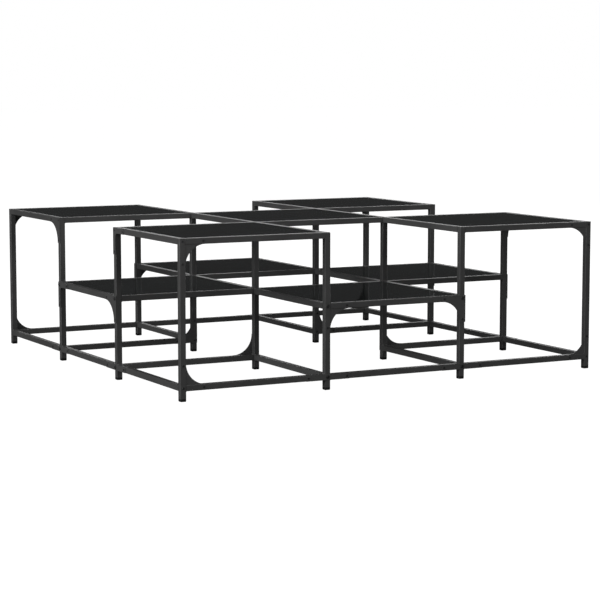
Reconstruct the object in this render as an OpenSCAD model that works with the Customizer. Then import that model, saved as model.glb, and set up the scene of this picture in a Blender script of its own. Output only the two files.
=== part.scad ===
// Low square coffee table: four corner tables and a centre top at one height,
// with a low shelf between each pair of neighbouring corner tables.
// Origin on the floor at the centre of the table, X to the right, Y to the back, Z up.

/* [Overall] */
// Width across the outer posts, along X
table_w = 1033; // [800:1:1400]
// Depth across the outer posts, along Y
table_d = 1033; // [800:1:1400]
// Height of the high tops above the floor
table_h = 340; // [300:1:450]
// Height of the low shelves above the floor
shelf_h = 188; // [160:1:230]
// Clear height below the floor-level rails
floor_gap = 22; // [22:1:40]

/* [Tube] */
// Side of the square tube
tube = 13; // [10:0.5:18]
// Wall of the square tube
tube_wall = 1; // [0.8:0.1:1.5]
// Outer corner radius of the tube
tube_r = 1.2; // [1:0.1:2]

/* [Glass] */
// Thickness of each glass panel
glass_t = 5; // [4:0.5:6]
// Corner radius of each glass panel
glass_r = 4; // [2:0.5:10]
// Clearance between a panel's edge and the rail beside it
glass_gap = 1; // [0.5:0.1:2]
// Depth of a panel's upper face below the rails' upper face
glass_drop = 0.4; // [0.1:0.1:1]

/* [Glass supports] */
// Thickness of a support pad
pad_t = 1; // [0.5:0.1:1.5]
// Diameter of a support pad
pad_d = 9; // [6:0.5:12]
// Thickness of a support tab
tab_t = 1.5; // [1:0.1:2]
// Length of a support tab along its rail
tab_l = 22; // [14:1:40]
// Reach of a support tab from its rail
tab_w = 14; // [12:1:20]
// Distance from a frame's inner corner to its support tab
tab_inset = 6; // [3:1:20]

/* [Brackets] */
// Sheet thickness of the brackets and joint plates
sheet_t = 1.2; // [0.8:0.1:1.5]
// Radius of the curved web of a large bracket
gusset_r = 46; // [30:1:60]
// Radius of the curved web of a short bracket
fillet_r = 8; // [4:1:10]
// Set-back of a flush gusset from the tubes' outer face
gusset_inset = 1; // [0.5:0.1:2]
// Reach of a bracket's or joint plate's arms past the tubes that it joins
arm_l = 47; // [32:1:70]

/* [Bolts] */
// Diameter of a bolt's shank
bolt_d = 5; // [4:0.5:6]
// Clearance around a bolt in a post or a bracket, on the diameter
bolt_play = 0.4; // [0.2:0.1:0.6]
// Diameter of a bolt's head
head_d = 8; // [7.5:0.5:9.5]
// Height of a bolt's head
head_h = 1.6; // [1.2:0.1:3]
// Width across the flats of a bolt's hexagon socket
socket_af = 3; // [2:0.5:4]
// Depth of a bolt's hexagon socket
socket_depth = 1.1; // [0.8:0.1:2]
// How far a bolt reaches into the rail behind its post
bolt_bite = 12; // [8:1:20]
// Length of the threaded insert inside a rail's end
insert_l = 14; // [8:1:24]
// Clearance around a threaded insert, on each side
insert_fit = 0.1; // [0.05:0.05:0.3]

/* [Bracket screws] */
// Diameter of a screw's shank
screw_d = 3; // [2:0.5:4]
// Length of a screw's shank
screw_l = 3; // [2.5:0.5:5]
// Diameter of a screw's head
screw_head_d = 5; // [4.5:0.5:6]
// Height of a screw's head
screw_head_h = 0.8; // [0.6:0.1:1.2]

/* [Feet] */
// Visible height of a foot
foot_h = 6; // [4:0.5:10]
// Inset of a foot's chamfer
foot_inset = 1.6; // [1:0.1:2.5]
// Height of a foot's chamfer
foot_rise = 2.4; // [1:0.1:3]
// Length of a foot's plug inside its post
plug_l = 14; // [8:1:15]
// Clearance around a foot's plug, on each side
plug_fit = 0.1; // [0.05:0.05:0.3]
// Diameter of the blind hole that lightens a plug
plug_bore = 5; // [3:0.5:6]

/* [Hidden] */
$fn = 48;

// Cells along each side, and the last post's index
cells = 3;
last = cells;
// Distance between post centres, and the clear opening inside a cell's rails
pitch_x = (table_w - tube) / cells;
pitch_y = (table_d - tube) / cells;
open_x = pitch_x - tube;
open_y = pitch_y - tube;

// Inner side and corner radius of the tube
bore = tube - 2 * tube_wall;
bore_r = max(tube_r - tube_wall, 0.5);

// Upper faces of the floor-level rails, glass, pads and tabs below a frame's top
floor_h = floor_gap + tube;
glass_z = -glass_drop - glass_t;
pad_z = glass_z - pad_t;
tab_z = pad_z - tab_t;

// Overrun of a cutting tool past the face that it cuts
cut = 1;

// Rows of posts from front to back, with posts 1 to 4 from left to right
ROWS = ["front", "mid_front", "mid_back", "back"];

// Each cell: name, column, row, and whether it carries a high top
CELLS = [
    ["front_left", 0, 0, true],
    ["front_middle", 1, 0, false],
    ["front_right", 2, 0, true],
    ["middle_left", 0, 1, false],
    ["centre", 1, 1, true],
    ["middle_right", 2, 1, false],
    ["back_left", 0, 2, true],
    ["back_middle", 1, 2, false],
    ["back_right", 2, 2, true],
];

// Each joint: post column, post row, turn of its outer face, mirrored or not
ROW_ENDS = [[0, 0, 0, 0], [3, 0, 0, 1], [3, 3, 180, 0], [0, 3, 180, 1]];
ROW_MIDDLES_FLUSH = [[1, 0, 0, 0], [2, 3, 180, 0]];
ROW_MIDDLES_WINGED = [[2, 0, 0, 1], [1, 3, 180, 1]];
TOP_SIDES = [[0, 2, -90, 1], [3, 1, 90, 1]];
TOP_SIDES_SHORT = [[0, 1, -90, 0], [3, 2, 90, 0]];
SHELF_SIDES = [[0, 1, -90, 1], [3, 2, 90, 1]];
SHELF_SIDES_SHORT = [[0, 2, -90, 0], [3, 1, 90, 0]];
INNER_CORNERS = [[1, 1, 180, 0], [2, 1, 180, 1], [2, 2, 0, 0], [1, 2, 0, 1]];
BOLTED = [
    [1, 0, 0, 0], [2, 0, 0, 0], [3, 1, 90, 1], [3, 2, 90, 1],
    [2, 3, 180, 0], [1, 3, 180, 0], [0, 2, -90, 1], [0, 1, -90, 1],
];

// Screws of a list of brackets, each with its joint, its distance along the rail,
// its height, and how far its seat stands out from the tubes
function screws(joints, mid, up, seat, bolted) = [
    for (joint = joints) each concat(
        [[joint, arm_l, mid, seat], [joint, 0, mid + up * arm_l, seat]],
        bolted ? [] : [[joint, 0, mid, seat]]
    )
];
TOP_SCREWS = concat(
    screws(ROW_ENDS, table_h - tube / 2, -1, 0, false),
    screws(concat(TOP_SIDES, TOP_SIDES_SHORT), table_h - tube / 2, -1, sheet_t, false)
);
SHELF_SCREWS = concat(
    screws(ROW_MIDDLES_FLUSH, shelf_h - tube / 2, -1, 0, true),
    screws(
        concat(ROW_MIDDLES_WINGED, SHELF_SIDES, SHELF_SIDES_SHORT),
        shelf_h - tube / 2, -1, sheet_t, true
    )
);
FLOOR_SCREWS = concat(
    screws(ROW_ENDS, floor_gap + tube / 2, 1, 0, false),
    screws(INNER_CORNERS, floor_gap + tube / 2, 1, sheet_t, false),
    [for (joint = BOLTED, side = [-1, 1]) [joint, side * arm_l, floor_gap + tube / 2, sheet_t]]
);

function level(cell) = cell[3] ? table_h : shelf_h;
function post_x(i) = (i - cells / 2) * pitch_x;
function post_y(j) = (j - cells / 2) * pitch_y;
function post_name(i, j) = str("post_", ROWS[j], "_", i + 1);
function is_corner(cell) = cell[1] != 1 && cell[2] != 1;
function is_flush(joint) =
    len([for (flush = ROW_MIDDLES_FLUSH) if (flush[0] == joint[0] && flush[1] == joint[1]) 1]) > 0;

// Rectangle with round corners, centred
module rounded(w, d, r) {
    square([w - 2 * r, d], center = true);
    square([w, d - 2 * r], center = true);
    for (x = [-1, 1], y = [-1, 1])
        translate([x * (w / 2 - r), y * (d / 2 - r)]) circle(r);
}

// Open-ended square tube along +Z
module square_tube(length) {
    difference() {
        linear_extrude(length) rounded(tube, tube, tube_r);
        translate([0, 0, -cut]) linear_extrude(length + 2 * cut) rounded(bore, bore, bore_r);
    }
}

// Moves a joint's pieces to their post: the joint's rail runs along +X before it
// is mirrored, and its outer face looks along -Y before it is turned
module at_joint(joint, z, upside_down = 0) {
    translate([post_x(joint[0]), post_y(joint[1]), z])
        rotate([0, 0, joint[2]])
            mirror([joint[3], 0, 0])
                mirror([0, 0, upside_down])
                    children();
}

// Moves children to each screw of a list, seated or on the tubes' outer face
module at_screws(list, seated) {
    for (screw = list)
        at_joint(screw[0], screw[2])
            translate([screw[1], -tube / 2 - (seated ? screw[3] : 0), 0]) children();
}

// Holes in the tubes' outer walls for the screws of a list
module screw_holes(list) {
    at_screws(list, false) rotate([90, 0, 0])
        cylinder(d = screw_d, h = 4 * tube_wall, center = true);
}

// Takes the screw holes of one height out of the pieces around a cell or on a post
module drilled(list) {
    difference() {
        children();
        screw_holes(list);
    }
}

// Hole for a bolt, along Y through a post or a plate
module bolt_hole() {
    rotate([90, 0, 0]) cylinder(d = bolt_d + bolt_play, h = tube + 4 * sheet_t + 2 * cut, center = true);
}

module post(i, j) {
    bolted = [for (joint = BOLTED) if (joint[0] == i && joint[1] == j) joint];
    color("#2e2e2e") difference() {
        translate([post_x(i), post_y(j), foot_h])
            linear_extrude(table_h - foot_h) rounded(tube, tube, tube_r);
        translate([post_x(i), post_y(j), foot_h - cut])
            linear_extrude(table_h - foot_h - tube_wall + cut) rounded(bore, bore, bore_r);
        for (joint = bolted, z = [shelf_h - tube / 2, floor_h - tube / 2])
            at_joint(joint, z) bolt_hole();
        screw_holes([
            for (screw = concat(TOP_SCREWS, SHELF_SCREWS, FLOOR_SCREWS))
                if (screw[0][0] == i && screw[0][1] == j && screw[1] == 0) screw
        ]);
    }
}

// The screws of a list that sit in the rails round one cell
function around(cell, list) = [
    for (screw = list)
        if (screw[1] != 0 && abs(screw[0][0] - cell[1] - 0.5) < 1 && abs(screw[0][1] - cell[2] - 0.5) < 1)
            screw
];

// Rail from post (i, j) to the next post along X, or along Y
module rail_x(i, j, top) {
    translate([post_x(i) + tube / 2, post_y(j), top - tube / 2])
        rotate([0, 90, 0]) square_tube(open_x);
}

module rail_y(i, j, top) {
    translate([post_x(i), post_y(j) + tube / 2, top - tube / 2])
        rotate([-90, 0, 0]) square_tube(open_y);
}

// The four rails around one cell, drilled for the screws of a list
module rail_frame(cell, top, list) {
    i = cell[1];
    j = cell[2];
    color("#333333") drilled(around(cell, list)) {
        rail_x(i, j, top);
        rail_x(i, j + 1, top);
        rail_y(i, j, top);
        rail_y(i + 1, j, top);
    }
}

// Cells whose outer rail at the floor is a single one
FRONT = [0, 1, 0];
BACK = [0, 1, 2];
LEFT = [0, 0, 1];
RIGHT = [0, 2, 1];

// Moves children to the centre of a cell, at its top's height
module in_cell(cell) {
    translate([
        post_x(cell[1]) + pitch_x / 2,
        post_y(cell[2]) + pitch_y / 2,
        level(cell)
    ]) children();
}

module glass(cell) {
    color("#1c1f1f") in_cell(cell)
        translate([0, 0, glass_z])
            linear_extrude(glass_t)
                rounded(open_x - 2 * glass_gap, open_y - 2 * glass_gap, glass_r);
}

// Moves children to the four support points of a cell
module at_supports() {
    for (x = [-1, 1], y = [-1, 1])
        translate([
            x * (open_x / 2 - tab_inset - tab_l / 2),
            y * (open_y / 2 - tab_w / 2),
            0
        ]) children();
}

module glass_tabs(high) {
    color("#2a2a2a")
        for (cell = CELLS)
            if (cell[3] == high)
                in_cell(cell) at_supports()
                    translate([-tab_l / 2, -tab_w / 2, tab_z]) cube([tab_l, tab_w, tab_t]);
}

module glass_pads() {
    color("#dddddd")
        for (cell = CELLS)
            in_cell(cell) at_supports() translate([0, 0, pad_z]) cylinder(d = pad_d, h = pad_t);
}

// Web between a post and a rail, with a curve on its free side. Origin in the
// corner where the two meet.
module web(r, overlap) {
    difference() {
        translate([-overlap, -r]) square([r + overlap, r + overlap]);
        translate([r, -r]) circle(r);
    }
}

// Flat gusset inside the corner of a post and a rail, just behind their outer
// faces. Origin on the post's axis, on the rail's upper edge line.
module flush_gusset() {
    translate([tube / 2, gusset_inset - tube / 2 + sheet_t, -tube]) rotate([90, 0, 0])
        linear_extrude(sheet_t) web(gusset_r, 0);
}

// Flat bracket over the outer faces of a post and a rail: an L with a curved web,
// with the same origin
module bracket(web_r) {
    translate([0, -tube / 2, 0]) rotate([90, 0, 0]) linear_extrude(sheet_t) difference() {
        union() {
            translate([-tube / 2, -tube - arm_l]) square([tube, tube + arm_l]);
            translate([-tube / 2, -tube]) square([tube + arm_l, tube]);
            translate([tube / 2, -tube]) web(web_r, cut);
        }
        for (at = [[0, -tube / 2], [arm_l, -tube / 2], [0, -tube / 2 - arm_l]])
            translate(at) circle(d = screw_d);
    }
}

// Large bracket with a folded wing along the post's far side
module winged_bracket() {
    bracket(gusset_r);
    translate([-tube / 2 - sheet_t, -tube / 2 - sheet_t, -tube - arm_l])
        cube([sheet_t, tube + sheet_t, tube + arm_l]);
}

// Flush gussets of a list of joints, at one height
module flush_gussets(joints, z, upside_down = 0) {
    color("#333333")
        for (joint = joints)
            at_joint(joint, z, upside_down) flush_gusset();
}

// Large brackets of a list of joints, at one height
module large_brackets(joints, z, upside_down = 0) {
    color("#383838")
        for (joint = joints)
            at_joint(joint, z, upside_down) bracket(gusset_r);
}

// Brackets at shelf height, drilled for the shelf bolts
module shelf_brackets(joints) {
    color("#383838")
        for (joint = joints)
            at_joint(joint, shelf_h) difference() {
                children();
                translate([0, 0, -tube / 2]) bolt_hole();
            }
}

module short_brackets_top() {
    color("#383838")
        for (joint = TOP_SIDES_SHORT)
            at_joint(joint, table_h) bracket(fillet_r);
}

// Flat plate over a post and the floor-level rails on both sides of it
module joint_plates() {
    color("#383838")
        for (joint = BOLTED)
            at_joint(joint, floor_h - tube / 2)
                difference() {
                    translate([-tube / 2 - arm_l, -tube / 2 - sheet_t, -tube / 2])
                        cube([tube + 2 * arm_l, sheet_t, tube]);
                    bolt_hole();
                    for (side = [-1, 1])
                        translate([side * arm_l, -tube / 2, 0]) rotate([90, 0, 0])
                            cylinder(d = screw_d, h = 4 * sheet_t, center = true);
                }
}

module bolt() {
    head_y = -tube / 2 - sheet_t;
    difference() {
        union() {
            translate([0, head_y, 0]) rotate([90, 0, 0]) cylinder(d = head_d, h = head_h);
            translate([0, head_y, 0]) rotate([-90, 0, 0])
                cylinder(d = bolt_d, h = sheet_t + tube + bolt_bite);
        }
        translate([0, head_y - head_h - cut, 0]) rotate([-90, 0, 0])
            cylinder(d = socket_af / cos(30), h = socket_depth + cut, $fn = 6);
    }
}

// One bolt for each joint at both heights; without a bracket its head sits on the post
module bolts() {
    color("#181818")
        for (joint = BOLTED) {
            at_joint(joint, floor_h - tube / 2) bolt();
            at_joint(joint, shelf_h - tube / 2)
                translate([0, is_flush(joint) ? sheet_t : 0, 0]) bolt();
        }
}

// Short screw with a low round head, through a tube's wall and any plate on it
module bracket_screws() {
    color("#181818")
        at_screws(concat(TOP_SCREWS, SHELF_SCREWS, FLOOR_SCREWS), true) {
            rotate([90, 0, 0]) cylinder(d = screw_head_d, h = screw_head_h);
            rotate([-90, 0, 0]) cylinder(d = screw_d, h = screw_l);
        }
}

// Threaded blocks inside the rail ends that the bolts screw into
module rail_inserts() {
    side = bore - 2 * insert_fit;
    color("#b0b0b0")
        for (joint = BOLTED, z = [shelf_h - tube / 2, floor_h - tube / 2])
            at_joint(joint, z)
                translate([0, tube / 2, 0]) rotate([-90, 0, 0])
                    difference() {
                        linear_extrude(insert_l) rounded(side, side, bore_r);
                        translate([0, 0, -cut]) cylinder(d = bolt_d, h = insert_l + 2 * cut);
                    }
}

// Plastic foot: a chamfered cap below the post and a plug inside it
module foot() {
    side = bore - 2 * plug_fit;
    half = tube / 2;
    outline = [
        [-half + foot_inset, 0], [half - foot_inset, 0], [half, foot_rise],
        [half, foot_h], [-half, foot_h], [-half, foot_rise],
    ];
    difference() {
        union() {
            intersection() {
                linear_extrude(foot_h) rounded(tube, tube, tube_r);
                for_both_ways() linear_extrude(tube + 2 * cut, center = true) polygon(outline);
            }
            translate([0, 0, foot_h - cut]) linear_extrude(plug_l + cut) rounded(side, side, bore_r);
        }
        translate([0, 0, foot_h]) cylinder(d = plug_bore, h = plug_l + cut);
    }
}

// The part that is common to children drawn across X and across Y
module for_both_ways() {
    intersection() {
        rotate([90, 0, 0]) children();
        rotate([90, 0, 90]) children();
    }
}

module feet() {
    color("#101010")
        for (j = [0 : last], i = [0 : last])
            translate([post_x(i), post_y(j), 0]) foot();
}

// One outer rail at the floor, between the corner tables
module floor_rail(cell) {
    color("#333333") drilled(around(cell, FLOOR_SCREWS)) children();
}

module floor_rail_front() { floor_rail(FRONT) rail_x(1, 0, floor_h); }
module floor_rail_back() { floor_rail(BACK) rail_x(1, last, floor_h); }
module floor_rail_left() { floor_rail(LEFT) rail_y(0, 1, floor_h); }
module floor_rail_right() { floor_rail(RIGHT) rail_y(last, 1, floor_h); }

for (j = [0 : last], i = [0 : last])
    post(i, j);
for (cell = CELLS) {
    glass(cell);
    rail_frame(cell, level(cell), cell[3] ? TOP_SCREWS : SHELF_SCREWS);
    if (is_corner(cell))
        rail_frame(cell, floor_h, FLOOR_SCREWS);
}
floor_rail_front();
floor_rail_back();
floor_rail_left();
floor_rail_right();
flush_gussets(ROW_ENDS, table_h);  // gussets_top_corners
large_brackets(TOP_SIDES, table_h);  // brackets_top_sides
short_brackets_top();
flush_gussets(ROW_MIDDLES_FLUSH, shelf_h);  // gussets_shelf
shelf_brackets(ROW_MIDDLES_WINGED) winged_bracket();  // winged_brackets_shelf
shelf_brackets(SHELF_SIDES) bracket(gusset_r);  // brackets_shelf_sides
shelf_brackets(SHELF_SIDES_SHORT) bracket(fillet_r);  // short_brackets_shelf
flush_gussets(ROW_ENDS, floor_gap, 1);  // gussets_floor_corners
large_brackets(INNER_CORNERS, floor_gap, 1);  // brackets_floor_inner
joint_plates();  // joint_plates_floor
bolts();
rail_inserts();
bracket_screws();
glass_tabs(true);  // glass_tabs_top
glass_tabs(false);  // glass_tabs_shelf
glass_pads();
feet();
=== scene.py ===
"""Low coffee table with nine black glass panels on a slim square-tube frame."""
import math

import bpy
from mathutils import Matrix, Vector


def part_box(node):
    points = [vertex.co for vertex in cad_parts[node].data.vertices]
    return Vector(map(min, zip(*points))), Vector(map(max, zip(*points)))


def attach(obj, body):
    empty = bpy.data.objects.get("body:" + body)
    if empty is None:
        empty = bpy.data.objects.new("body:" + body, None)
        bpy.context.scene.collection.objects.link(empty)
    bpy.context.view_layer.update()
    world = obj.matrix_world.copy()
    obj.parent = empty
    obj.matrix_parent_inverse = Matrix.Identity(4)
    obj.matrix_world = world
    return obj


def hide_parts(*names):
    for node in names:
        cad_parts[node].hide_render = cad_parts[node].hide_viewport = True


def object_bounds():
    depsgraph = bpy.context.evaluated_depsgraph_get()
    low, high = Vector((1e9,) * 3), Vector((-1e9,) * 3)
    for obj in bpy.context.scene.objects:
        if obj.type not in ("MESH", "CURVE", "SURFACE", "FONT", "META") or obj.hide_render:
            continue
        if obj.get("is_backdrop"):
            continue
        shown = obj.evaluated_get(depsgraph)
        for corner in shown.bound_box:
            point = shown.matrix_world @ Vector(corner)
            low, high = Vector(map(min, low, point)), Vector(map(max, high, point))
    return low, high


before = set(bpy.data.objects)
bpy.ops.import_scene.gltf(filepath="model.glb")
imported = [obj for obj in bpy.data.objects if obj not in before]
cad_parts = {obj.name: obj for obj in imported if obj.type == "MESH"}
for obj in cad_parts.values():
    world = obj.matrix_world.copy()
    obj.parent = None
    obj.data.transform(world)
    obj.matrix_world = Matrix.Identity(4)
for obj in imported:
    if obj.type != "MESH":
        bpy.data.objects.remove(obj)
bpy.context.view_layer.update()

# --- Sizes, in metres, read from the frame -------------------------------------------------

MM = 0.001
ROWS = ("front", "mid_front", "mid_back", "back")
CELLS = {
    "front_left": (0, 0), "front_middle": (1, 0), "front_right": (2, 0),
    "middle_left": (0, 1), "centre": (1, 1), "middle_right": (2, 1),
    "back_left": (0, 2), "back_middle": (1, 2), "back_right": (2, 2),
}
CORNER_CELLS = ("front_left", "front_right", "back_left", "back_right")
HIGH_CELLS = CORNER_CELLS + ("centre",)
LOW_CELLS = tuple(name for name in CELLS if name not in HIGH_CELLS)


def post_name(i, j):
    return f"post_{ROWS[j]}_{i + 1}"


def centre(node):
    low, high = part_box(node)
    return (low + high) / 2


POST_X = [centre(post_name(i, 0)).x for i in range(4)]
POST_Y = [centre(post_name(0, j)).y for j in range(4)]
POST_LOW, POST_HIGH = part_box(post_name(0, 0))
TUBE = POST_HIGH.x - POST_LOW.x
FOOT_H = POST_LOW.z
TOP_Z = POST_HIGH.z
SHELF_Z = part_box("glass_frame_front_middle")[1].z
FLOOR_RAIL_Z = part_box("floor_rail_front")[1].z
OPEN_X = POST_X[1] - POST_X[0] - TUBE
OPEN_Y = POST_Y[1] - POST_Y[0] - TUBE

TUBE_R = 1.2 * MM
TUBE_WALL = 1 * MM
SHEET = -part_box("joint_plates_floor")[0].y + POST_LOW.y
FILLET_R = 8 * MM
GUSSET_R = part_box("gussets_shelf")[1].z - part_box("gussets_shelf")[0].z
GUSSET_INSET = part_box("gussets_shelf")[0].y - POST_LOW.y
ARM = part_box("short_brackets_top")[1].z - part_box("short_brackets_top")[0].z - TUBE

BOLT_D = 5 * MM
BOLT_HOLE_D = BOLT_D + 0.4 * MM
HEAD_D = 8 * MM
HEAD_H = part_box("joint_plates_floor")[0].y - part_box("bolts")[0].y
SOCKET_AF = 3 * MM
SOCKET_DEPTH = 1.1 * MM
BOLT_BITE = 12 * MM

SCREW_D = 3 * MM
SCREW_L = 3 * MM
SCREW_HEAD_D = 5 * MM
SCREW_HEAD_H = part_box("joint_plates_floor")[0].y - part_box("bracket_screws")[0].y

GLASS_R = 4 * MM
TAB_L = 22 * MM
TAB_W = 14 * MM
TAB_INSET = 6 * MM
TAB_BEAD_END = 2 * MM
PAD_D = 9 * MM
PLUG_L = 14 * MM
PLUG_FIT = 0.1 * MM
PLUG_WALL = 1.8 * MM

# Roundings of edges
POST_TOP_ROUND = 0.5 * MM
BEAD_R = 1.5 * MM
ARRIS = 0.5 * MM
TAB_CORNER_R = 4 * MM
PLATE_CORNER_R = 1.5 * MM
BRACKET_EASE = 0.3 * MM
PLATE_EASE = 0.25 * MM
SOLE_ROUND = 2.3 * MM

# How near two places must be to count as one, and a normal to an axis to count as facing along it
SAME_PLACE = 1e-6
FACING = 0.9

# Each joint: post column, post row, turn of its outer face, mirrored or not
ROW_ENDS = [(0, 0, 0, False), (3, 0, 0, True), (3, 3, 180, False), (0, 3, 180, True)]
ROW_MIDDLES_FLUSH = [(1, 0, 0, False), (2, 3, 180, False)]
ROW_MIDDLES_WINGED = [(2, 0, 0, True), (1, 3, 180, True)]
TOP_SIDES = [(0, 2, -90, True), (3, 1, 90, True)]
TOP_SIDES_SHORT = [(0, 1, -90, False), (3, 2, 90, False)]
SHELF_SIDES = [(0, 1, -90, True), (3, 2, 90, True)]
SHELF_SIDES_SHORT = [(0, 2, -90, False), (3, 1, 90, False)]
INNER_CORNERS = [(1, 1, 180, False), (2, 1, 180, True), (2, 2, 0, False), (1, 2, 0, True)]
BOLTED = [
    (1, 0, 0, False), (2, 0, 0, False), (3, 1, 90, True), (3, 2, 90, True),
    (2, 3, 180, False), (1, 3, 180, False), (0, 2, -90, True), (0, 1, -90, True),
]

# --- Modelling helpers ---------------------------------------------------------------------


def only(*pieces):
    """Selects these pieces and nothing else; the first is active."""
    bpy.ops.object.select_all(action="DESELECT")
    for piece in pieces:
        piece.select_set(True)
    bpy.context.view_layer.objects.active = pieces[0]


def placed(name):
    """Names the new primitive and puts its place and size in its mesh."""
    piece = bpy.context.object
    piece.name = name
    only(piece)
    bpy.ops.object.transform_apply(location=True, rotation=True, scale=True)
    return piece


def block(name, low, high):
    low, high = Vector(low), Vector(high)
    bpy.ops.mesh.primitive_cube_add(size=1, location=(low + high) / 2, scale=high - low)
    return placed(name)


def rod(name, radius, length, start, turn=(0, 0, 0), sides=32):
    """A cylinder that starts at a point and runs along +Z before it is turned about that point."""
    bpy.ops.mesh.primitive_cylinder_add(vertices=sides, radius=radius, depth=length)
    piece = bpy.context.object
    only(piece)
    bpy.ops.transform.translate(value=(0, 0, length / 2))
    bpy.ops.object.transform_apply(location=True)
    piece.rotation_euler = [math.radians(angle) for angle in turn]
    piece.location = start
    return placed(name)


def pick(piece, kind, test):
    """Selects the edges or faces that pass a test, and opens the piece in edit mode."""
    only(piece)
    bpy.ops.object.mode_set(mode="EDIT")
    bpy.ops.mesh.select_mode(type=kind)
    bpy.ops.mesh.select_all(action="DESELECT")
    bpy.ops.object.mode_set(mode="OBJECT")
    mesh = piece.data
    if kind == "EDGE":
        for edge in mesh.edges:
            edge.select = test(*(mesh.vertices[i].co for i in edge.vertices))
    else:
        for face in mesh.polygons:
            face.select = test(face.center, face.normal)
    bpy.ops.object.mode_set(mode="EDIT")


def bevel(piece, test, width, segments=3):
    """Rounds the edges that pass a test."""
    pick(piece, "EDGE", test)
    bpy.ops.mesh.bevel(offset=width, segments=segments, profile=0.5, affect="EDGES")
    bpy.ops.object.mode_set(mode="OBJECT")
    return piece


def along(axis):
    """Test for edges that run along an axis."""
    others = [k for k in range(3) if k != axis]
    return lambda a, b: all(abs(a[k] - b[k]) < SAME_PLACE for k in others)


def in_plane(axis, value):
    """Test for edges that lie in a plane across an axis."""
    return lambda a, b: max(abs(a[axis] - value), abs(b[axis] - value)) < SAME_PLACE


def modify(piece, kind, **settings):
    """Adds a modifier with its settings and applies it."""
    only(piece)
    modifier = piece.modifiers.new(kind.lower(), kind)
    for key, value in settings.items():
        setattr(modifier, key, value)
    bpy.ops.object.modifier_apply(modifier=modifier.name)
    return piece


def cut(piece, cutter):
    """Takes a cutter away from a piece."""
    modify(piece, "BOOLEAN", operation="DIFFERENCE", object=cutter, solver="EXACT")
    bpy.data.objects.remove(cutter)
    return piece


def unite(piece, other):
    """Makes one closed skin of two overlapping pieces."""
    modify(piece, "BOOLEAN", operation="UNION", object=other, solver="EXACT")
    bpy.data.objects.remove(other)
    return piece


def joined(name, pieces):
    """Makes one piece of several that stay separate shells."""
    only(*pieces)
    bpy.ops.object.join()
    pieces[0].name = name
    pieces[0].data.name = name
    return pieces[0]


def smooth(piece):
    """Smooth shading on the rounded edges, with the flat faces kept flat."""
    only(piece)
    bpy.ops.object.shade_smooth_by_angle(angle=math.radians(35))
    return modify(piece, "WEIGHTED_NORMAL", keep_sharp=True, weight=80)


def copied(master, matrix):
    """A copy with its own mesh, moved in its mesh."""
    piece = master.copy()
    piece.data = master.data.copy()
    bpy.context.scene.collection.objects.link(piece)
    piece.data.transform(matrix)
    if matrix.determinant() < 0:
        only(piece)
        bpy.ops.object.mode_set(mode="EDIT")
        bpy.ops.mesh.select_all(action="SELECT")
        bpy.ops.mesh.flip_normals()
        bpy.ops.object.mode_set(mode="OBJECT")
    return piece


def moved(master, x, y, z, turn=0):
    place = Matrix.Translation((x, y, z)) @ Matrix.Rotation(math.radians(turn), 4, "Z")
    return copied(master, place)


def at_joint(master, joint, z, upside_down=False):
    """A copy at a joint: its rail runs along +X before mirroring, its outer face along -Y."""
    i, j, turn, mirrored = joint
    place = Matrix.Translation((POST_X[i], POST_Y[j], z))
    place = place @ Matrix.Rotation(math.radians(turn), 4, "Z")
    if mirrored:
        place = place @ Matrix.Scale(-1, 4, (1, 0, 0))
    if upside_down:
        place = place @ Matrix.Scale(-1, 4, (0, 0, 1))
    return copied(master, place)


def drop(*pieces):
    for piece in pieces:
        bpy.data.objects.remove(piece)


def finish_piece(piece, slot, material, *nodes):
    """Gives a piece its body, its material and the nodes that it stands for; the slot argument is not
    used.
    """
    smooth(piece)
    piece.data.materials.clear()
    piece.data.materials.append(material)
    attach(piece, "root")
    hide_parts(*nodes)
    return piece


# --- Shared surface effects ----------------------------------------------------------------

# How fine each pattern is, and the part of a noise's range that is used
MOTTLE_SCALE = 14
GRAIN_SCALE = 160
WAVE_SCALE = 600
SKIN_GRAIN_SCALE = 2400
SKIN_GRAIN_SHARE = 0.35
NOISE_LOW, NOISE_HIGH = 0.3, 0.7
BUMP_DISTANCE = 0.1 * MM


def new_group(name, inputs, outputs):
    group = bpy.data.node_groups.new(name, "ShaderNodeTree")
    for label, kind, value in inputs:
        socket = group.interface.new_socket(label, in_out="INPUT", socket_type=kind)
        socket.default_value = value
    for label, kind in outputs:
        group.interface.new_socket(label, in_out="OUTPUT", socket_type=kind)
    return group, group.nodes.new("NodeGroupInput"), group.nodes.new("NodeGroupOutput")


def noise(group, vector, scale, detail, roughness=0.5):
    node = group.nodes.new("ShaderNodeTexNoise")
    node.inputs["Scale"].default_value = scale
    node.inputs["Detail"].default_value = detail
    node.inputs["Roughness"].default_value = roughness
    group.links.new(vector, node.inputs["Vector"])
    return node


def spread(group, value, to_low, to_high):
    """Stretches the middle of a noise's range to another range."""
    node = group.nodes.new("ShaderNodeMapRange")
    group.links.new(value, node.inputs["Value"])
    for label, amount in (("From Min", NOISE_LOW), ("From Max", NOISE_HIGH)):
        node.inputs[label].default_value = amount
    for label, amount in (("To Min", to_low), ("To Max", to_high)):
        if isinstance(amount, bpy.types.NodeSocket):
            group.links.new(amount, node.inputs[label])
        else:
            node.inputs[label].default_value = amount
    return node.outputs["Result"]


def mix_colour(group, factor, first, second):
    node = group.nodes.new("ShaderNodeMix")
    node.data_type = "RGBA"
    group.links.new(factor, node.inputs["Factor"])
    group.links.new(first, node.inputs["A"])
    group.links.new(second, node.inputs["B"])
    return node.outputs["Result"]


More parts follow.
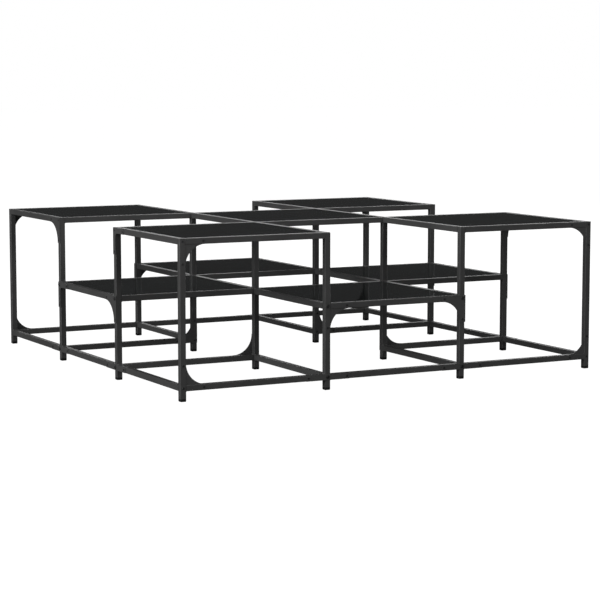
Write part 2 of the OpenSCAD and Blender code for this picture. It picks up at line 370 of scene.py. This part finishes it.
def make_mottle():
    """Two close colours and two close roughnesses that change slowly over a surface."""
    group, given, out = new_group(
        "slow_mottle",
        [
            ("Vector", "NodeSocketVector", (0, 0, 0)),
            ("Dark", "NodeSocketColor", (0, 0, 0, 1)),
            ("Light", "NodeSocketColor", (1, 1, 1, 1)),
            ("Smoothest", "NodeSocketFloat", 0.3),
            ("Roughest", "NodeSocketFloat", 0.5),
        ],
        [("Colour", "NodeSocketColor"), ("Roughness", "NodeSocketFloat")],
    )
    slow = noise(group, given.outputs["Vector"], MOTTLE_SCALE, 2)
    fine = noise(group, given.outputs["Vector"], GRAIN_SCALE, 4, 0.6)
    mask = spread(group, slow.outputs["Fac"], 0.0, 1.0)
    grain = spread(
        group, fine.outputs["Fac"], given.outputs["Smoothest"], given.outputs["Roughest"]
    )
    colour = mix_colour(group, mask, given.outputs["Dark"], given.outputs["Light"])
    group.links.new(colour, out.inputs["Colour"])
    group.links.new(grain, out.inputs["Roughness"])
    return group


def make_peel():
    """Height of a sprayed or moulded skin: low waves with a fine grain on them."""
    group, given, out = new_group(
        "skin_height",
        [("Vector", "NodeSocketVector", (0, 0, 0)), ("Scale", "NodeSocketFloat", WAVE_SCALE)],
        [("Height", "NodeSocketFloat")],
    )
    waves = noise(group, given.outputs["Vector"], WAVE_SCALE, 2)
    grain = noise(group, given.outputs["Vector"], SKIN_GRAIN_SCALE, 3, 0.6)
    group.links.new(given.outputs["Scale"], waves.inputs["Scale"])
    add = group.nodes.new("ShaderNodeMath")
    add.operation = "MULTIPLY_ADD"
    add.inputs[1].default_value = SKIN_GRAIN_SHARE
    group.links.new(grain.outputs["Fac"], add.inputs[0])
    group.links.new(waves.outputs["Fac"], add.inputs[2])
    group.links.new(add.outputs["Value"], out.inputs["Height"])
    return group


MOTTLE = make_mottle()
PEEL = make_peel()


def placed_group(material, group, **values):
    node = material.node_tree.nodes.new("ShaderNodeGroup")
    node.node_tree = group
    for label, value in values.items():
        node.inputs[label].default_value = value
    return node


def surface(name, dark, light, smoothest, roughest, peel_scale, peel_depth, **fixed):
    """A material of two close colours, with a mottled roughness and a sprayed or moulded skin."""
    material = bpy.data.materials.new(name)
    material.use_nodes = True
    tree = material.node_tree
    shader = tree.nodes["Principled BSDF"]
    where = tree.nodes.new("ShaderNodeTexCoord").outputs["Object"]
    tone = placed_group(
        material, MOTTLE, Dark=(*dark, 1), Light=(*light, 1), Smoothest=smoothest, Roughest=roughest
    )
    tree.links.new(where, tone.inputs["Vector"])
    tree.links.new(tone.outputs["Colour"], shader.inputs["Base Color"])
    tree.links.new(tone.outputs["Roughness"], shader.inputs["Roughness"])
    if peel_depth:
        skin = placed_group(material, PEEL, Scale=peel_scale)
        tree.links.new(where, skin.inputs["Vector"])
        bump = tree.nodes.new("ShaderNodeBump")
        bump.inputs["Strength"].default_value = peel_depth
        bump.inputs["Distance"].default_value = BUMP_DISTANCE
        tree.links.new(skin.outputs["Height"], bump.inputs["Height"])
        tree.links.new(bump.outputs["Normal"], shader.inputs["Normal"])
    for label, value in fixed.items():
        shader.inputs[label.replace("_", " ")].default_value = value
    return material


powder_coat = surface(
    "powder_coat_frame", (0.029, 0.029, 0.029), (0.036, 0.036, 0.036), 0.36, 0.46, 700, 0.35
)
powder_coat_sheet = surface(
    "powder_coat_brackets", (0.031, 0.031, 0.031), (0.038, 0.038, 0.038), 0.36, 0.46, 700, 0.35
)
black_glass = surface(
    "black_tempered_glass", (0.0055, 0.0065, 0.0065), (0.0075, 0.009, 0.009), 0.03, 0.06, 0, 0
)
foot_plastic = surface(
    "moulded_black_plastic", (0.004, 0.004, 0.004), (0.007, 0.007, 0.007), 0.5, 0.65, 1500, 0.5,
    Specular_IOR_Level=0.3,
)
black_zinc = surface(
    "black_zinc_bolts", (0.004, 0.004, 0.0045), (0.008, 0.008, 0.009), 0.42, 0.55, 1200, 0.15
)
soft_pad = surface(
    "clear_soft_pads", (0.5, 0.5, 0.48), (0.62, 0.62, 0.6), 0.35, 0.5, 900, 0.2
)
zinc_steel = surface(
    "zinc_plated_inserts", (0.42, 0.42, 0.4), (0.55, 0.55, 0.53), 0.3, 0.45, 900, 0.15, Metallic=1.0
)

# --- Posts ---------------------------------------------------------------------------------


def make_post():
    """Square tube with round corners, open below, closed and dressed smooth on top."""
    half = TUBE / 2
    post = block("post_master", (-half, -half, FOOT_H), (half, half, TOP_Z))
    bevel(post, along(2), TUBE_R, 5)
    pick(post, "FACE", lambda at, normal: normal.z < -FACING)
    bpy.ops.mesh.inset(thickness=TUBE_WALL)
    depth = TOP_Z - FOOT_H - TUBE_WALL
    bpy.ops.mesh.extrude_region_move(TRANSFORM_OT_translate={"value": (0, 0, depth)})
    bpy.ops.object.mode_set(mode="OBJECT")
    return bevel(post, in_plane(2, TOP_Z), POST_TOP_ROUND)


post_master = make_post()
for j in range(4):
    for i in range(4):
        post = moved(post_master, POST_X[i], POST_Y[j], 0)
        post.name = f"{post_name(i, j)}_tube"
        finish_piece(post, "frame", powder_coat, post_name(i, j))
drop(post_master)

# --- Rails ---------------------------------------------------------------------------------


def make_bead(length):
    """Weld bead along X with the low ripples that a coat leaves showing."""
    ripples = 9
    end_squeeze, ripple_squeeze = 0.55, 0.86
    bead = rod("bead", BEAD_R, length, (-length / 2, 0, 0), (0, 90, 0), 12)
    pick(bead, "EDGE", along(0))
    bpy.ops.mesh.subdivide(number_cuts=2 * ripples - 1)
    bpy.ops.object.mode_set(mode="OBJECT")
    step = length / (2 * ripples)
    for k in range(0, 2 * ripples + 1, 2):
        place = -length / 2 + k * step
        pick(bead, "EDGE", in_plane(0, place))
        squeeze = end_squeeze if k in (0, 2 * ripples) else ripple_squeeze
        bpy.ops.transform.resize(value=(1, squeeze, squeeze), center_override=(place, 0, 0))
        bpy.ops.object.mode_set(mode="OBJECT")
    return bead


def make_rail(length, bead_above):
    """Rail along X round the origin, with weld beads where its ends meet the posts."""
    half, end_depth = TUBE / 2, 10 * MM
    rail = block("rail_master", (-length / 2, -half, -half), (length / 2, half, half))
    bevel(rail, along(0), TUBE_R, 5)
    for side in (-1, 1):
        pick(rail, "FACE", lambda at, normal: normal.x * side > FACING)
        bpy.ops.mesh.inset(thickness=TUBE_WALL)
        move = (-side * end_depth, 0, 0)
        bpy.ops.mesh.extrude_region_move(TRANSFORM_OT_translate={"value": move})
        bpy.ops.object.mode_set(mode="OBJECT")
    bead = make_bead(TUBE - 2 * TUBE_R)
    beads = []
    for side in (-1, 1):
        for z in (-half, half) if bead_above else (-half,):
            beads.append(moved(bead, side * length / 2, 0, z, 90))
    drop(bead)
    return joined("rail_master", [rail, *beads])


def rail_masters(bead_above):
    return make_rail(OPEN_X, bead_above), make_rail(OPEN_Y, bead_above)


def rail_x(masters, i, j, top):
    return moved(masters[0], (POST_X[i] + POST_X[i + 1]) / 2, POST_Y[j], top - TUBE / 2)


def rail_y(masters, i, j, top):
    return moved(masters[1], POST_X[i], (POST_Y[j] + POST_Y[j + 1]) / 2, top - TUBE / 2, 90)


def rail_frame(name, masters, cell, top, node):
    i, j = CELLS[cell]
    rails = [rail_x(masters, i, j, top), rail_x(masters, i, j + 1, top)]
    rails += [rail_y(masters, i, j, top), rail_y(masters, i + 1, j, top)]
    finish_piece(joined(name, rails), "frame", powder_coat, node)


top_rails = rail_masters(False)
low_rails = rail_masters(True)
for cell in CELLS:
    high = cell in HIGH_CELLS
    masters, top = (top_rails, TOP_Z) if high else (low_rails, SHELF_Z)
    rail_frame(f"rails_glass_{cell}", masters, cell, top, f"glass_frame_{cell}")
for cell in CORNER_CELLS:
    rail_frame(f"rails_floor_{cell}", low_rails, cell, FLOOR_RAIL_Z, f"floor_frame_{cell}")
for side, rail in {
    "front": rail_x(low_rails, 1, 0, FLOOR_RAIL_Z),
    "back": rail_x(low_rails, 1, 3, FLOOR_RAIL_Z),
    "left": rail_y(low_rails, 0, 1, FLOOR_RAIL_Z),
    "right": rail_y(low_rails, 3, 1, FLOOR_RAIL_Z),
}.items():
    rail.name = f"rail_floor_{side}"
    finish_piece(rail, "frame", powder_coat, f"floor_rail_{side}")
drop(*top_rails, *low_rails)

# --- Glass ---------------------------------------------------------------------------------


def make_glass(cell):
    """Panel with round corners and a polished arris round both faces."""
    low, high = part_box(f"glass_{cell}")
    panel = block(f"panel_glass_{cell}", low, high)
    bevel(panel, along(2), GLASS_R, 8)
    bevel(panel, in_plane(2, high.z), ARRIS)
    bevel(panel, in_plane(2, low.z), ARRIS)
    finish_piece(panel, "glass", black_glass, f"glass_{cell}")


for cell in CELLS:
    make_glass(cell)

# --- Glass supports ------------------------------------------------------------------------

tab_low, tab_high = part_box("glass_tabs_top")
pad_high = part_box("glass_pads")[1]
TAB_BELOW_TOP = TOP_Z - tab_low.z
TAB_T = tab_high.z - tab_low.z
PAD_T = pad_high.z - tab_high.z


def supports(cell):
    """The four support points of a cell, each with the side of its rail."""
    i, j = CELLS[cell]
    x, y = (POST_X[i] + POST_X[i + 1]) / 2, (POST_Y[j] + POST_Y[j + 1]) / 2
    reach_x, reach_y = OPEN_X / 2 - TAB_INSET - TAB_L / 2, OPEN_Y / 2 - TAB_W / 2
    return [(x + a * reach_x, y + b * reach_y, b) for a in (-1, 1) for b in (-1, 1)]


def make_tab():
    """Tab with two round corners and a weld bead under its root; its rail is on the -Y side."""
    tab = block("tab_master", (-TAB_L / 2, -TAB_W / 2, 0), (TAB_L / 2, TAB_W / 2, TAB_T))
    bevel(tab, lambda a, b: along(2)(a, b) and a.y > 0, TAB_CORNER_R, 6)
    bevel(tab, lambda a, b: max(a.y, b.y) > -TAB_W / 2 + MM and not along(2)(a, b), 0.3 * MM, 2)
    bead = make_bead(TAB_L - 2 * TAB_BEAD_END)
    under = moved(bead, 0, -TAB_W / 2, 0)
    drop(bead)
    return joined("tab_master", [tab, under])


def make_pad():
    """Soft round pad with a domed upper edge."""
    pad = rod("pad_master", PAD_D / 2, PAD_T, (0, 0, 0), sides=28)
    return bevel(pad, in_plane(2, PAD_T), 0.35 * MM)


tab_master, pad_master = make_tab(), make_pad()
pads = []
for level, cells, top in (("top", HIGH_CELLS, TOP_Z), ("shelf", LOW_CELLS, SHELF_Z)):
    tabs = []
    tab_z = top - TAB_BELOW_TOP
    for cell in cells:
        for x, y, side in supports(cell):
            tabs.append(moved(tab_master, x, y, tab_z, 180 if side > 0 else 0))
            pads.append(moved(pad_master, x, y, tab_z + TAB_T))
    finish_piece(joined(f"support_tabs_{level}", tabs), "frame", powder_coat, f"glass_tabs_{level}")
finish_piece(joined("soft_pads", pads), "pad", soft_pad, "glass_pads")
drop(tab_master, pad_master)

# --- Brackets and joint plates -------------------------------------------------------------


def make_web(web_r, overlap, front, back):
    """Web below the rail and beside the post, with its free side cut to a curve."""
    corner = Vector((TUBE / 2, 0, -TUBE))
    web = block(
        "web", corner + Vector((-overlap, front, -web_r)), corner + Vector((web_r, back, overlap))
    )
    start = corner + Vector((web_r, 2 * TUBE, -web_r))
    return cut(web, rod("curve", web_r, 4 * TUBE, start, (90, 0, 0), 128))


def hole_along_y(x, z, diameter):
    return rod("hole", diameter / 2, 4 * TUBE, (x, 2 * TUBE, z), (90, 0, 0))


def eased(sheet, width):
    """Takes the sharpness off a cut sheet's edges."""
    return modify(
        sheet, "BEVEL", width=width, segments=2, limit_method="ANGLE", angle_limit=math.radians(50)
    )


def make_flush_gusset():
    front = GUSSET_INSET - TUBE / 2
    gusset = make_web(GUSSET_R, 0, front, front + SHEET)
    gusset.name = "flush_gusset_master"
    return gusset


def make_bracket(web_r, winged=False, bolted=False):
    """Flat L-shaped bracket with a curved web, and a wing round the post's far side."""
    half = TUBE / 2
    outer, inner = -half - SHEET, -half
    side = outer if winged else inner
    sheet = block("bracket_master", (side, outer, -TUBE - ARM), (half, inner, 0))
    sheet = unite(sheet, block("arm", (0, outer, -TUBE), (half + ARM, inner, 0)))
    sheet = unite(sheet, make_web(web_r, 2 * MM, outer, inner))
    if winged:
        sheet = unite(sheet, block("wing", (outer, outer, -TUBE - ARM), (inner, half, 0)))
        fold = Vector((outer, outer))
        fold_r = 0.9 * SHEET
        bevel(
            sheet, lambda a, b: along(2)(a, b) and (a.xy - fold).length < SAME_PLACE, fold_r, 4
        )
    corner_hole = BOLT_HOLE_D if bolted else SCREW_D
    holes = ((0, -half, corner_hole), (ARM, -half, SCREW_D), (0, -half - ARM, SCREW_D))
    for x, z, diameter in holes:
        sheet = cut(sheet, hole_along_y(x, z, diameter))
    return eased(sheet, BRACKET_EASE)


def bracket_group(name, node, master, joints, z, upside_down=False):
    group = [at_joint(master, joint, z, upside_down) for joint in joints]
    finish_piece(joined(name, group), "bracket", powder_coat_sheet, node)


FLOOR_RAIL_LOW = FLOOR_RAIL_Z - TUBE

flush = make_flush_gusset()
bracket_group("gussets_top", "gussets_top_corners", flush, ROW_ENDS, TOP_Z)
bracket_group("gussets_under_shelves", "gussets_shelf", flush, ROW_MIDDLES_FLUSH, SHELF_Z)
bracket_group("gussets_floor", "gussets_floor_corners", flush, ROW_ENDS, FLOOR_RAIL_LOW, True)

large = make_bracket(GUSSET_R)
bracket_group("side_brackets_top", "brackets_top_sides", large, TOP_SIDES, TOP_Z)
bracket_group(
    "inner_brackets_floor", "brackets_floor_inner", large, INNER_CORNERS, FLOOR_RAIL_LOW, True
)

large_bolted = make_bracket(GUSSET_R, bolted=True)
bracket_group("side_brackets_shelf", "brackets_shelf_sides", large_bolted, SHELF_SIDES, SHELF_Z)

winged = make_bracket(GUSSET_R, winged=True, bolted=True)
bracket_group("folded_brackets_shelf", "winged_brackets_shelf", winged, ROW_MIDDLES_WINGED, SHELF_Z)

short = make_bracket(FILLET_R)
bracket_group("slim_brackets_top", "short_brackets_top", short, TOP_SIDES_SHORT, TOP_Z)

short_bolted = make_bracket(FILLET_R, bolted=True)
bracket_group("slim_brackets_shelf", "short_brackets_shelf", short_bolted, SHELF_SIDES_SHORT, SHELF_Z)
drop(flush, large, large_bolted, winged, short, short_bolted)


def make_plate():
    """Flat joint plate with round corners, a bolt hole and two screw holes."""
    half = TUBE / 2
    plate = block("plate_master", (-half - ARM, -half - SHEET, -half), (half + ARM, -half, half))
    bevel(plate, along(1), PLATE_CORNER_R, 4)
    for x, diameter in ((0, BOLT_HOLE_D), (-ARM, SCREW_D), (ARM, SCREW_D)):
        plate = cut(plate, hole_along_y(x, 0, diameter))
    return eased(plate, PLATE_EASE)


plate_master = make_plate()
plates = [at_joint(plate_master, joint, FLOOR_RAIL_Z - TUBE / 2) for joint in BOLTED]
finish_piece(joined("joint_plates", plates), "bracket", powder_coat_sheet, "joint_plates_floor")
drop(plate_master)

# --- Bolts, screws and inserts -------------------------------------------------------------


def make_bolt(seat):
    """Low round head with a hexagon socket on a seat, and a plain shank along +Y."""
    head = rod("bolt_master", HEAD_D / 2, HEAD_H, (0, seat, 0), (90, 0, 0), 40)
    bevel(head, in_plane(1, seat - HEAD_H), 0.6 * MM, 4)
    start = (0, seat - HEAD_H + SOCKET_DEPTH, 0)
    cut(head, rod("socket", SOCKET_AF / math.sqrt(3), 2 * SOCKET_DEPTH, start, (90, 0, 0), 6))
    reach = SHEET + TUBE + BOLT_BITE
    shank = rod("shank", BOLT_D / 2, reach, (0, seat, 0), (-90, 0, 0), 24)
    bevel(shank, in_plane(1, seat + reach), 0.6 * MM, 2)
    return joined("bolt_master", [head, shank])


def make_screw(seat):
    """Short screw with a low round head and a small hexagon socket."""
    head = rod("screw_master", SCREW_HEAD_D / 2, SCREW_HEAD_H, (0, seat, 0), (90, 0, 0), 28)
    bevel(head, in_plane(1, seat - SCREW_HEAD_H), 0.4 * MM)
    start = (0, seat - 0.2 * MM, 0)
    cut(head, rod("socket", MM, 4 * SCREW_HEAD_H, start, (90, 0, 0), 6))
    shank = rod("shank", SCREW_D / 2, SCREW_L, (0, seat, 0), (-90, 0, 0), 20)
    return joined("screw_master", [head, shank])


TUBE_FACE, SHEET_FACE = -TUBE / 2, -TUBE / 2 - SHEET
bolt_masters = make_bolt(TUBE_FACE), make_bolt(SHEET_FACE)
bolts = []
for joint in BOLTED:
    bolts.append(at_joint(bolt_masters[1], joint, FLOOR_RAIL_Z - TUBE / 2))
    on_sheet = joint[:2] not in [flush_joint[:2] for flush_joint in ROW_MIDDLES_FLUSH]
    bolts.append(at_joint(bolt_masters[on_sheet], joint, SHELF_Z - TUBE / 2))
finish_piece(joined("socket_bolts", bolts), "bolt", black_zinc, "bolts")
drop(*bolt_masters)

screw_masters = make_screw(TUBE_FACE), make_screw(SHEET_FACE)
screws = []


def add_screw(on_sheet, joint, x, z):
    """A screw at a distance along a joint's rail, at a height."""
    shifted = copied(screw_masters[on_sheet], Matrix.Translation((x, 0, 0)))
    screws.append(at_joint(shifted, joint, z))
    drop(shifted)


def add_bracket_screws(on_sheet, joints, mid, up, bolted=False):
    """The screws of each bracket: on the rail, on the post, and in the corner if no bolt is there."""
    for joint in joints:
        add_screw(on_sheet, joint, ARM, mid)
        add_screw(on_sheet, joint, 0, mid + up * ARM)
        if not bolted:
            add_screw(on_sheet, joint, 0, mid)


add_bracket_screws(False, ROW_ENDS, TOP_Z - TUBE / 2, -1)
add_bracket_screws(True, TOP_SIDES + TOP_SIDES_SHORT, TOP_Z - TUBE / 2, -1)
add_bracket_screws(False, ROW_MIDDLES_FLUSH, SHELF_Z - TUBE / 2, -1, True)
on_shelf_sheets = ROW_MIDDLES_WINGED + SHELF_SIDES + SHELF_SIDES_SHORT
add_bracket_screws(True, on_shelf_sheets, SHELF_Z - TUBE / 2, -1, True)
add_bracket_screws(False, ROW_ENDS, FLOOR_RAIL_Z - TUBE / 2, 1)
add_bracket_screws(True, INNER_CORNERS, FLOOR_RAIL_Z - TUBE / 2, 1)
for joint in BOLTED:
    for side in (-1, 1):
        add_screw(True, joint, side * ARM, FLOOR_RAIL_Z - TUBE / 2)
finish_piece(joined("small_screws", screws), "bolt", black_zinc, "bracket_screws")
drop(*screw_masters)

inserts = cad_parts["rail_inserts"].data
inserts.materials.clear()
inserts.materials.append(zinc_steel)

# --- Feet ----------------------------------------------------------------------------------


def make_foot():
    """Moulded cap with a rounded sole, and a hollow plug inside the post."""
    half, bore = TUBE / 2, TUBE / 2 - TUBE_WALL - PLUG_FIT
    foot = block("foot_master", (-half, -half, 0), (half, half, FOOT_H))
    bevel(foot, along(2), TUBE_R, 4)
    bevel(foot, in_plane(2, 0), SOLE_ROUND, 5)
    bevel(foot, in_plane(2, FOOT_H), 0.25 * MM, 2)
    plug = block("plug", (-bore, -bore, FOOT_H), (bore, bore, FOOT_H + PLUG_L))
    bevel(plug, along(2), 0.5 * MM, 2)
    pick(plug, "FACE", lambda at, normal: normal.z > FACING)
    bpy.ops.mesh.inset(thickness=PLUG_WALL)
    bpy.ops.mesh.extrude_region_move(TRANSFORM_OT_translate={"value": (0, 0, -PLUG_L + MM)})
    bpy.ops.object.mode_set(mode="OBJECT")
    return joined("foot_master", [foot, plug])


foot_master = make_foot()
feet = [moved(foot_master, x, y, 0) for x in POST_X for y in POST_Y]
finish_piece(joined("plastic_feet", feet), "foot", foot_plastic, "feet")
drop(foot_master)

# --- Stage, light and camera ---------------------------------------------------------------


def plain(name, colour, glow):
    """One matt colour that also glows a little by itself."""
    material = bpy.data.materials.new(name)
    material.use_nodes = True
    shader = material.node_tree.nodes["Principled BSDF"]
    shader.inputs["Base Color"].default_value = (*colour, 1)
    shader.inputs["Roughness"].default_value = 0.9
    shader.inputs["Specular IOR Level"].default_value = 0.1
    shader.inputs["Emission Color"].default_value = (1, 1, 1, 1)
    shader.inputs["Emission Strength"].default_value = glow
    return material


FLOOR_SIZE = 60
FLOOR_GLOW = 0.97
bpy.ops.mesh.primitive_plane_add(size=FLOOR_SIZE, location=(0, 0, -0.2 * MM))
floor = placed("studio_floor")
floor.data.materials.append(plain("pale_floor", (0.1, 0.1, 0.1), FLOOR_GLOW))
floor.visible_diffuse = False
floor.visible_glossy = False
floor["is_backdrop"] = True


def soft_light(name, place, aim, size, power, height=None):
    """Area light that looks from its place to a point."""
    data = bpy.data.lights.new(name, "AREA")
    data.shape = "RECTANGLE"
    data.size, data.size_y = size, height or size
    data.energy = power
    light = bpy.data.objects.new(name, data)
    bpy.context.scene.collection.objects.link(light)
    light.location = place
    light.rotation_euler = (Vector(aim) - Vector(place)).to_track_quat("-Z", "Y").to_euler()
    return light


top_light = soft_light("top_light", (0, 0, 3.2), (0, 0, 0), 3.2, 60)
top_light.visible_glossy = False
soft_light("left_light", (-4.2, -0.6, 1.7), (0, 0, 0.2), 2.4, 250)
soft_light("front_light", (0.6, -4.6, 2.4), (0, 0, 0.2), 2.4, 80)
soft_light("right_light", (4.2, 0.6, 1.7), (0, 0, 0.2), 2.4, 110)
soft_light("back_light", (3.3, 3.7, 2.5), (0, 0, 0.3), 5.0, 76, 1.4)


BEHIND_TABLE = 1.0
SOFT_DOME = 0.35
DIM_ROOM = 0.028


def make_world():
    """White behind the table, a pale dome for soft light, and a dim room for reflections."""
    world = bpy.data.worlds.new("studio")
    bpy.context.scene.world = world
    world.use_nodes = True
    tree = world.node_tree
    tree.nodes.clear()
    out = tree.nodes.new("ShaderNodeOutputWorld")
    path = tree.nodes.new("ShaderNodeLightPath")

    def backdrop(level):
        node = tree.nodes.new("ShaderNodeBackground")
        node.inputs["Color"].default_value = (level, level, level, 1)
        return node.outputs["Background"]

    def choose(test, otherwise, when_true):
        node = tree.nodes.new("ShaderNodeMixShader")
        tree.links.new(test, node.inputs["Fac"])
        tree.links.new(otherwise, node.inputs[1])
        tree.links.new(when_true, node.inputs[2])
        return node.outputs["Shader"]

    lit = choose(path.outputs["Is Glossy Ray"], backdrop(SOFT_DOME), backdrop(DIM_ROOM))
    seen = choose(path.outputs["Is Camera Ray"], lit, backdrop(BEHIND_TABLE))
    tree.links.new(seen, out.inputs["Surface"])


make_world()
bpy.context.scene.view_settings.view_transform = "Standard"

CAMERA_AT = (-2.2059, -4.2437, 0.6763)
HEADING = 62.159
TILT = -6.465
LENS = 119.86
camera_data = bpy.data.cameras.new("camera")
camera_data.sensor_width = 36
camera_data.lens = LENS
camera = bpy.data.objects.new("camera", camera_data)
bpy.context.scene.collection.objects.link(camera)
camera.location = CAMERA_AT
camera.rotation_euler = (math.radians(90 + TILT), 0, math.radians(HEADING - 90))
bpy.context.scene.camera = camera

low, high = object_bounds()
